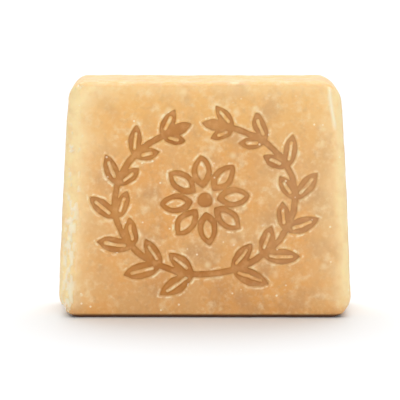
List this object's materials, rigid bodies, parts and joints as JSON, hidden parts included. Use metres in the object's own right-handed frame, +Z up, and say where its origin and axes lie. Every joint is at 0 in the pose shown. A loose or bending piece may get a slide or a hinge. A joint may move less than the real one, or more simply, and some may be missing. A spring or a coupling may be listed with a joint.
{
  "type": "bar of soap",
  "caption": "Handmade soap slice that stands on its long edge, with leaning sides, worn edges and a leafy wreath stamped into its front face.",
  "frame": {"origin": "middle of the bottom face that the bar stands on", "axes": "+X across the width, +Y from the stamped front face to the plain back, +Z up"},
  "size_m": [0.0794, 0.025, 0.064],
  "materials": {
    "soap": "satin, honey amber cast soap, slightly translucent, mottled paler at its worn edges"
  },
  "bodies": {
    "root": {"soap_bar": "soap"}
  },
  "joints": []
}
